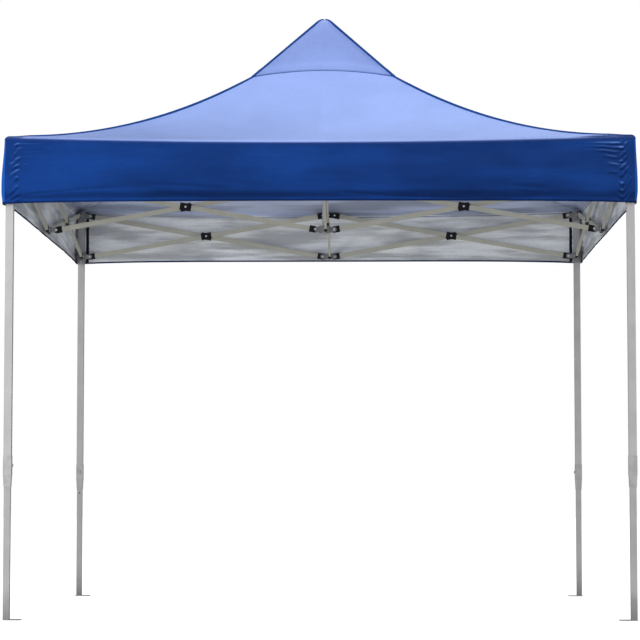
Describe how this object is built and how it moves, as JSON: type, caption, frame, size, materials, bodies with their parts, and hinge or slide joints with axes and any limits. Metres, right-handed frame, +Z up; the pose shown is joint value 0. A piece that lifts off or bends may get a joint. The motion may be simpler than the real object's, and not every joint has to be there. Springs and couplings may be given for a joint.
{
  "type": "pop up gazebo",
  "caption": "Free-standing square pop-up gazebo: scissor-truss steel frame folds inwards, telescopic legs, hollow-curved fabric roof with straight valances.",
  "frame": {"origin": "on the ground at the centre of the footprint", "axes": "+Z up, -Y towards the front, +X to the right seen from the front"},
  "size_m": [2.948, 2.948, 3.092],
  "materials": {
    "canopy_fabric": "blue woven polyester, silver coated underneath",
    "bar_steel": "powder coated steel, warm light grey, black plastic sleeves",
    "leg_steel": "powder coated steel, light grey",
    "pole_steel": "powder coated steel, light grey",
    "grey_plastic": "moulded, grey",
    "black_plastic": "moulded, black",
    "button_plastic": "moulded, dark grey"
  },
  "bodies": {
    "root": {"upper_hub": "grey_plastic", "canopy": "canopy_fabric"},
    "arm_top_front": {"arm_top_front": "bar_steel"},
    "arm_low_front": {"arm_low_front": "bar_steel"},
    "mid_top_front": {"mid_top_front": "black_plastic"},
    "mid_low_front": {"mid_low_front": "grey_plastic"},
    "lower_hub": {"lower_hub": "grey_plastic", "peak_pole": "pole_steel"},
    "bar_low_front_fl": {"bar_low_front_fl": "bar_steel"},
    "bar_high_front_fl": {"bar_high_front_fl": "bar_steel"},
    "leg_fl": {"outer_leg_fl": "leg_steel", "leg_top_fl": "grey_plastic"},
    "slider_fl": {"slider_fl": "grey_plastic"},
    "inner_leg_fl": {"inner_leg_fl": "leg_steel"},
    "leg_button_fl": {"leg_button_fl": "button_plastic"},
    "slider_button_fl": {"slider_button_fl": "button_plastic"},
    "bar_low_front_fr": {"bar_low_front_fr": "bar_steel"},
    "bar_high_front_fr": {"bar_high_front_fr": "bar_steel"},
    "arm_top_right": {"arm_top_right": "bar_steel"},
    "arm_low_right": {"arm_low_right": "bar_steel"},
    "mid_top_right": {"mid_top_right": "black_plastic"},
    "mid_low_right": {"mid_low_right": "grey_plastic"},
    "bar_low_right_fr": {"bar_low_right_fr": "bar_steel"},
    "bar_high_right_fr": {"bar_high_right_fr": "bar_steel"},
    "leg_fr": {"outer_leg_fr": "leg_steel", "leg_top_fr": "grey_plastic"},
    "slider_fr": {"slider_fr": "grey_plastic"},
    "inner_leg_fr": {"inner_leg_fr": "leg_steel"},
    "leg_button_fr": {"leg_button_fr": "button_plastic"},
    "slider_button_fr": {"slider_button_fr": "button_plastic"},
    "bar_low_right_br": {"bar_low_right_br": "bar_steel"},
    "bar_high_right_br": {"bar_high_right_br": "bar_steel"},
    "arm_top_back": {"arm_top_back": "bar_steel"},
    "arm_low_back": {"arm_low_back": "bar_steel"},
    "mid_top_back": {"mid_top_back": "black_plastic"},
    "mid_low_back": {"mid_low_back": "grey_plastic"},
    "bar_low_back_br": {"bar_low_back_br": "bar_steel"},
    "bar_high_back_br": {"bar_high_back_br": "bar_steel"},
    "leg_br": {"outer_leg_br": "leg_steel", "leg_top_br": "grey_plastic"},
    "slider_br": {"slider_br": "grey_plastic"},
    "inner_leg_br": {"inner_leg_br": "leg_steel"},
    "leg_button_br": {"leg_button_br": "button_plastic"},
    "slider_button_br": {"slider_button_br": "button_plastic"},
    "bar_low_back_bl": {"bar_low_back_bl": "bar_steel"},
    "bar_high_back_bl": {"bar_high_back_bl": "bar_steel"},
    "arm_top_left": {"arm_top_left": "bar_steel"},
    "arm_low_left": {"arm_low_left": "bar_steel"},
    "mid_top_left": {"mid_top_left": "black_plastic"},
    "mid_low_left": {"mid_low_left": "grey_plastic"},
    "bar_low_left_bl": {"bar_low_left_bl": "bar_steel"},
    "bar_high_left_bl": {"bar_high_left_bl": "bar_steel"},
    "leg_bl": {"outer_leg_bl": "leg_steel", "leg_top_bl": "grey_plastic"},
    "slider_bl": {"slider_bl": "grey_plastic"},
    "inner_leg_bl": {"inner_leg_bl": "leg_steel"},
    "leg_button_bl": {"leg_button_bl": "button_plastic"},
    "slider_button_bl": {"slider_button_bl": "button_plastic"},
    "bar_low_left_fl": {"bar_low_left_fl": "bar_steel"},
    "bar_high_left_fl": {"bar_high_left_fl": "bar_steel"}
  },
  "joints": [
    {"name": "fold", "type": "hinge", "parent": "root", "child": "arm_top_front", "pos_m": [-0.007, -0.05, 2.215], "axis": [1, 0, 0], "range_deg": [0, 76.4], "deforming": ["canopy"]},
    {"name": "cross_arm_front", "type": "hinge", "parent": "arm_top_front", "child": "arm_low_front", "pos_m": [0, -0.7325, 2.095], "axis": [-1, 0, 0], "range_deg": [0, 152.8]},
    {"name": "level_mid_top_front", "type": "hinge", "parent": "arm_low_front", "child": "mid_top_front", "pos_m": [0.007, -1.415, 2.215], "axis": [1, 0, 0], "range_deg": [0, 76.4]},
    {"name": "level_mid_low_front", "type": "hinge", "parent": "arm_top_front", "child": "mid_low_front", "pos_m": [-0.007, -1.415, 1.975], "axis": [-1, 0, 0], "range_deg": [0, 76.4]},
    {"name": "level_lower_hub", "type": "hinge", "parent": "arm_low_front", "child": "lower_hub", "pos_m": [0.007, -0.05, 1.975], "axis": [1, 0, 0], "range_deg": [0, 76.4]},
    {"name": "swing_front_fl", "type": "hinge", "parent": "mid_top_front", "child": "bar_low_front_fl", "pos_m": [-0.035, -1.443, 2.215], "axis": [0, -1, 0], "range_deg": [0, 76.4]},
    {"name": "cross_front_fl", "type": "hinge", "parent": "bar_low_front_fl", "child": "bar_high_front_fl", "pos_m": [-0.7175, -1.45, 2.095], "axis": [0, 1, 0], "range_deg": [0, 152.8]},
    {"name": "level_leg_fl", "type": "hinge", "parent": "bar_high_front_fl", "child": "leg_fl", "pos_m": [-1.4, -1.457, 2.215], "axis": [0, -1, 0], "range_deg": [0, 76.4]},
    {"name": "level_slider_fl", "type": "hinge", "parent": "bar_low_front_fl", "child": "slider_fl", "pos_m": [-1.4, -1.443, 1.975], "axis": [0, 1, 0], "range_deg": [0, 76.4]},
    {"name": "height_fl", "type": "slide", "parent": "leg_fl", "child": "inner_leg_fl", "axis": [0, 0, 1], "range_m": [0, 0.55]},
    {"name": "leg_pin_fl", "type": "slide", "parent": "leg_fl", "child": "leg_button_fl", "axis": [1, 0, 0], "range_m": [0, 0.006], "stiffness_N_per_m": 600, "springref_m": -0.004},
    {"name": "slider_pin_fl", "type": "slide", "parent": "slider_fl", "child": "slider_button_fl", "axis": [1, 0, 0], "range_m": [0, 0.006], "stiffness_N_per_m": 600, "springref_m": -0.004},
    {"name": "swing_front_fr", "type": "hinge", "parent": "mid_top_front", "child": "bar_low_front_fr", "pos_m": [0.035, -1.443, 2.215], "axis": [0, 1, 0], "range_deg": [0, 76.4]},
    {"name": "cross_front_fr", "type": "hinge", "parent": "bar_low_front_fr", "child": "bar_high_front_fr", "pos_m": [0.7175, -1.45, 2.095], "axis": [0, -1, 0], "range_deg": [0, 152.8]},
    {"name": "fold_right", "type": "hinge", "parent": "root", "child": "arm_top_right", "pos_m": [0.05, -0.007, 2.215], "axis": [0, 1, 0], "range_deg": [0, 76.4]},
    {"name": "cross_arm_right", "type": "hinge", "parent": "arm_top_right", "child": "arm_low_right", "pos_m": [0.7325, 0, 2.095], "axis": [0, -1, 0], "range_deg": [0, 152.8]},
    {"name": "level_mid_top_right", "type": "hinge", "parent": "arm_low_right", "child": "mid_top_right", "pos_m": [1.415, 0.007, 2.215], "axis": [0, 1, 0], "range_deg": [0, 76.4]},
    {"name": "level_mid_low_right", "type": "hinge", "parent": "arm_top_right", "child": "mid_low_right", "pos_m": [1.415, -0.007, 1.975], "axis": [0, -1, 0], "range_deg": [0, 76.4]},
    {"name": "swing_right_fr", "type": "hinge", "parent": "mid_top_right", "child": "bar_low_right_fr", "pos_m": [1.443, -0.035, 2.215], "axis": [1, 0, 0], "range_deg": [0, 76.4]},
    {"name": "cross_right_fr", "type": "hinge", "parent": "bar_low_right_fr", "child": "bar_high_right_fr", "pos_m": [1.45, -0.7175, 2.095], "axis": [-1, 0, 0], "range_deg": [0, 152.8]},
    {"name": "level_leg_fr", "type": "hinge", "parent": "bar_high_right_fr", "child": "leg_fr", "pos_m": [1.457, -1.4, 2.215], "axis": [1, 0, 0], "range_deg": [0, 76.4]},
    {"name": "level_slider_fr", "type": "hinge", "parent": "bar_low_right_fr", "child": "slider_fr", "pos_m": [1.443, -1.4, 1.975], "axis": [-1, 0, 0], "range_deg": [0, 76.4]},
    {"name": "height_fr", "type": "slide", "parent": "leg_fr", "child": "inner_leg_fr", "axis": [0, 0, 1], "range_m": [0, 0.55]},
    {"name": "leg_pin_fr", "type": "slide", "parent": "leg_fr", "child": "leg_button_fr", "axis": [0, 1, 0], "range_m": [0, 0.006], "stiffness_N_per_m": 600, "springref_m": -0.004},
    {"name": "slider_pin_fr", "type": "slide", "parent": "slider_fr", "child": "slider_button_fr", "axis": [0, 1, 0], "range_m": [0, 0.006], "stiffness_N_per_m": 600, "springref_m": -0.004},
    {"name": "swing_right_br", "type": "hinge", "parent": "mid_top_right", "child": "bar_low_right_br", "pos_m": [1.443, 0.035, 2.215], "axis": [-1, 0, 0], "range_deg": [0, 76.4]},
    {"name": "cross_right_br", "type": "hinge", "parent": "bar_low_right_br", "child": "bar_high_right_br", "pos_m": [1.45, 0.7175, 2.095], "axis": [1, 0, 0], "range_deg": [0, 152.8]},
    {"name": "fold_back", "type": "hinge", "parent": "root", "child": "arm_top_back", "pos_m": [0.007, 0.05, 2.215], "axis": [-1, 0, 0], "range_deg": [0, 76.4]},
    {"name": "cross_arm_back", "type": "hinge", "parent": "arm_top_back", "child": "arm_low_back", "pos_m": [0, 0.7325, 2.095], "axis": [1, 0, 0], "range_deg": [0, 152.8]},
    {"name": "level_mid_top_back", "type": "hinge", "parent": "arm_low_back", "child": "mid_top_back", "pos_m": [-0.007, 1.415, 2.215], "axis": [-1, 0, 0], "range_deg": [0, 76.4]},
    {"name": "level_mid_low_back", "type": "hinge", "parent": "arm_top_back", "child": "mid_low_back", "pos_m": [0.007, 1.415, 1.975], "axis": [1, 0, 0], "range_deg": [0, 76.4]},
    {"name": "swing_back_br", "type": "hinge", "parent": "mid_top_back", "child": "bar_low_back_br", "pos_m": [0.035, 1.443, 2.215], "axis": [0, 1, 0], "range_deg": [0, 76.4]},
    {"name": "cross_back_br", "type": "hinge", "parent": "bar_low_back_br", "child": "bar_high_back_br", "pos_m": [0.7175, 1.45, 2.095], "axis": [0, -1, 0], "range_deg": [0, 152.8]},
    {"name": "level_leg_br", "type": "hinge", "parent": "bar_high_back_br", "child": "leg_br", "pos_m": [1.4, 1.457, 2.215], "axis": [0, 1, 0], "range_deg": [0, 76.4]},
    {"name": "level_slider_br", "type": "hinge", "parent": "bar_low_back_br", "child": "slider_br", "pos_m": [1.4, 1.443, 1.975], "axis": [0, -1, 0], "range_deg": [0, 76.4]},
    {"name": "height_br", "type": "slide", "parent": "leg_br", "child": "inner_leg_br", "axis": [0, 0, 1], "range_m": [0, 0.55]},
    {"name": "leg_pin_br", "type": "slide", "parent": "leg_br", "child": "leg_button_br", "axis": [-1, 0, 0], "range_m": [0, 0.006], "stiffness_N_per_m": 600, "springref_m": -0.004},
    {"name": "slider_pin_br", "type": "slide", "parent": "slider_br", "child": "slider_button_br", "axis": [-1, 0, 0], "range_m": [0, 0.006], "stiffness_N_per_m": 600, "springref_m": -0.004},
    {"name": "swing_back_bl", "type": "hinge", "parent": "mid_top_back", "child": "bar_low_back_bl", "pos_m": [-0.035, 1.443, 2.215], "axis": [0, -1, 0], "range_deg": [0, 76.4]},
    {"name": "cross_back_bl", "type": "hinge", "parent": "bar_low_back_bl", "child": "bar_high_back_bl", "pos_m": [-0.7175, 1.45, 2.095], "axis": [0, 1, 0], "range_deg": [0, 152.8]},
    {"name": "fold_left", "type": "hinge", "parent": "root", "child": "arm_top_left", "pos_m": [-0.05, 0.007, 2.215], "axis": [0, -1, 0], "range_deg": [0, 76.4]},
    {"name": "cross_arm_left", "type": "hinge", "parent": "arm_top_left", "child": "arm_low_left", "pos_m": [-0.7325, 0, 2.095], "axis": [0, 1, 0], "range_deg": [0, 152.8]},
    {"name": "level_mid_top_left", "type": "hinge", "parent": "arm_low_left", "child": "mid_top_left", "pos_m": [-1.415, -0.007, 2.215], "axis": [0, -1, 0], "range_deg": [0, 76.4]},
    {"name": "level_mid_low_left", "type": "hinge", "parent": "arm_top_left", "child": "mid_low_left", "pos_m": [-1.415, 0.007, 1.975], "axis": [0, 1, 0], "range_deg": [0, 76.4]},
    {"name": "swing_left_bl", "type": "hinge", "parent": "mid_top_left", "child": "bar_low_left_bl", "pos_m": [-1.443, 0.035, 2.215], "axis": [-1, 0, 0], "range_deg": [0, 76.4]},
    {"name": "cross_left_bl", "type": "hinge", "parent": "bar_low_left_bl", "child": "bar_high_left_bl", "pos_m": [-1.45, 0.7175, 2.095], "axis": [1, 0, 0], "range_deg": [0, 152.8]},
    {"name": "level_leg_bl", "type": "hinge", "parent": "bar_high_left_bl", "child": "leg_bl", "pos_m": [-1.457, 1.4, 2.215], "axis": [-1, 0, 0], "range_deg": [0, 76.4]},
    {"name": "level_slider_bl", "type": "hinge", "parent": "bar_low_left_bl", "child": "slider_bl", "pos_m": [-1.443, 1.4, 1.975], "axis": [1, 0, 0], "range_deg": [0, 76.4]},
    {"name": "height_bl", "type": "slide", "parent": "leg_bl", "child": "inner_leg_bl", "axis": [0, 0, 1], "range_m": [0, 0.55]},
    {"name": "leg_pin_bl", "type": "slide", "parent": "leg_bl", "child": "leg_button_bl", "axis": [0, -1, 0], "range_m": [0, 0.006], "stiffness_N_per_m": 600, "springref_m": -0.004},
    {"name": "slider_pin_bl", "type": "slide", "parent": "slider_bl", "child": "slider_button_bl", "axis": [0, -1, 0], "range_m": [0, 0.006], "stiffness_N_per_m": 600, "springref_m": -0.004},
    {"name": "swing_left_fl", "type": "hinge", "parent": "mid_top_left", "child": "bar_low_left_fl", "pos_m": [-1.443, -0.035, 2.215], "axis": [1, 0, 0], "range_deg": [0, 76.4]},
    {"name": "cross_left_fl", "type": "hinge", "parent": "bar_low_left_fl", "child": "bar_high_left_fl", "pos_m": [-1.45, -0.7175, 2.095], "axis": [-1, 0, 0], "range_deg": [0, 152.8]}
  ],
  "couplings": [
    {"joint": "cross_arm_front", "follows": "fold", "ratio": 2},
    {"joint": "level_mid_top_front", "follows": "fold", "ratio": 1},
    {"joint": "level_mid_low_front", "follows": "fold", "ratio": 1},
    {"joint": "level_lower_hub", "follows": "fold", "ratio": 1},
    {"joint": "swing_front_fl", "follows": "fold", "ratio": 1},
    {"joint": "cross_front_fl", "follows": "fold", "ratio": 2},
    {"joint": "level_leg_fl", "follows": "fold", "ratio": 1},
    {"joint": "level_slider_fl", "follows": "fold", "ratio": 1},
    {"joint": "swing_front_fr", "follows": "fold", "ratio": 1},
    {"joint": "cross_front_fr", "follows": "fold", "ratio": 2},
    {"joint": "fold_right", "follows": "fold", "ratio": 1},
    {"joint": "cross_arm_right", "follows": "fold", "ratio": 2},
    {"joint": "level_mid_top_right", "follows": "fold", "ratio": 1},
    {"joint": "level_mid_low_right", "follows": "fold", "ratio": 1},
    {"joint": "swing_right_fr", "follows": "fold", "ratio": 1},
    {"joint": "cross_right_fr", "follows": "fold", "ratio": 2},
    {"joint": "level_leg_fr", "follows": "fold", "ratio": 1},
    {"joint": "level_slider_fr", "follows": "fold", "ratio": 1},
    {"joint": "swing_right_br", "follows": "fold", "ratio": 1},
    {"joint": "cross_right_br", "follows": "fold", "ratio": 2},
    {"joint": "fold_back", "follows": "fold", "ratio": 1},
    {"joint": "cross_arm_back", "follows": "fold", "ratio": 2},
    {"joint": "level_mid_top_back", "follows": "fold", "ratio": 1},
    {"joint": "level_mid_low_back", "follows": "fold", "ratio": 1},
    {"joint": "swing_back_br", "follows": "fold", "ratio": 1},
    {"joint": "cross_back_br", "follows": "fold", "ratio": 2},
    {"joint": "level_leg_br", "follows": "fold", "ratio": 1},
    {"joint": "level_slider_br", "follows": "fold", "ratio": 1},
    {"joint": "swing_back_bl", "follows": "fold", "ratio": 1},
    {"joint": "cross_back_bl", "follows": "fold", "ratio": 2},
    {"joint": "fold_left", "follows": "fold", "ratio": 1},
    {"joint": "cross_arm_left", "follows": "fold", "ratio": 2},
    {"joint": "level_mid_top_left", "follows": "fold", "ratio": 1},
    {"joint": "level_mid_low_left", "follows": "fold", "ratio": 1},
    {"joint": "swing_left_bl", "follows": "fold", "ratio": 1},
    {"joint": "cross_left_bl", "follows": "fold", "ratio": 2},
    {"joint": "level_leg_bl", "follows": "fold", "ratio": 1},
    {"joint": "level_slider_bl", "follows": "fold", "ratio": 1},
    {"joint": "swing_left_fl", "follows": "fold", "ratio": 1},
    {"joint": "cross_left_fl", "follows": "fold", "ratio": 2}
  ]
}
